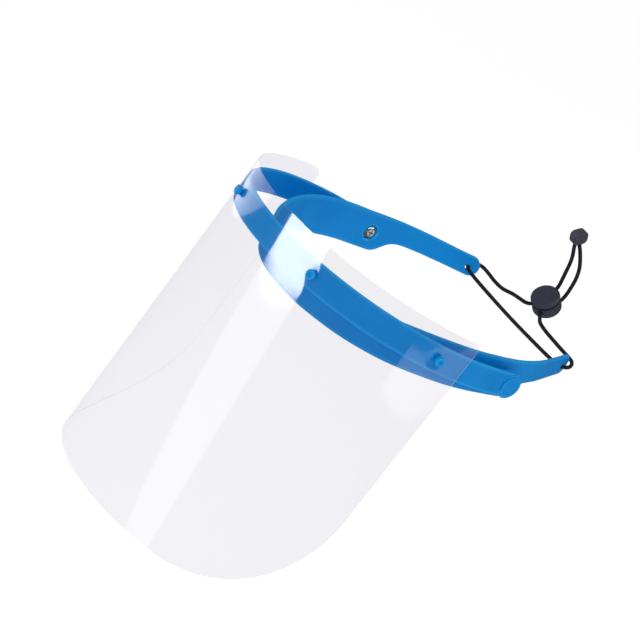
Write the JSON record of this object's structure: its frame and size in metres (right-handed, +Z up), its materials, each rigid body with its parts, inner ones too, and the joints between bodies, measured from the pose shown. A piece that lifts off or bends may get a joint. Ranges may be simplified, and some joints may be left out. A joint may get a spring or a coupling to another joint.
{
  "type": "face shield",
  "caption": "Face shield with a forehead band, a tilting visor band, a clear wrap-round sheet on pegs, and an elastic cord tightened by a push-button cord lock.",
  "frame": {"origin": "on the visor's tilt axis, midway between the two pivots, which is the middle of the opening that the wearer's head fills", "axes": "+X to the wearer's left along the tilt axis, -Y to the front of the face, +Y to the back of the head, +Z up through the top of the head"},
  "size_m": [0.181, 0.2764, 0.215],
  "materials": {
    "band_plastic": "moulded, satin gloss",
    "clear_sheet": "clear film, glossy",
    "chrome": "polished",
    "steel": "plain",
    "rubber": "matt",
    "brass": "turned",
    "cord": "braided elastic",
    "lock_plastic": "moulded, matt"
  },
  "bodies": {
    "headband": {"headband": "band_plastic", "screw_washer_left": "steel", "screw_washer_right": "steel", "friction_washer_left": "rubber", "friction_washer_right": "rubber", "elastic_cord": "cord", "cord_end_base": "lock_plastic", "cord_end_lid": "lock_plastic", "cord_knots": "cord"},
    "visor": {"visor_band": "band_plastic", "shield_sheet": "clear_sheet", "pivot_screw_left": "chrome", "pivot_screw_right": "chrome", "pivot_nut_left": "brass", "pivot_nut_right": "brass", "pivot_cap_left": "band_plastic", "pivot_cap_right": "band_plastic"},
    "cord_lock": {"cord_lock_body": "lock_plastic", "cord_lock_spring": "steel"},
    "cord_lock_button": {"cord_lock_button": "lock_plastic"}
  },
  "joints": [
    {"name": "visor_tilt", "type": "hinge", "parent": "headband", "child": "visor", "pos_m": [0, 0, 0], "axis": [-1, 0, 0], "range_deg": [-20, 75]},
    {"name": "cord_lock_slide", "type": "slide", "parent": "headband", "child": "cord_lock", "axis": [0, 0.7254, 0.6884], "range_m": [0, 0.0015]},
    {"name": "cord_lock_press", "type": "slide", "parent": "cord_lock", "child": "cord_lock_button", "axis": [0, 0.6884, -0.7254], "range_m": [0, 0.0016], "stiffness_N_per_m": 300, "springref_m": -0.004, "deforming": ["cord_lock_spring"]}
  ]
}
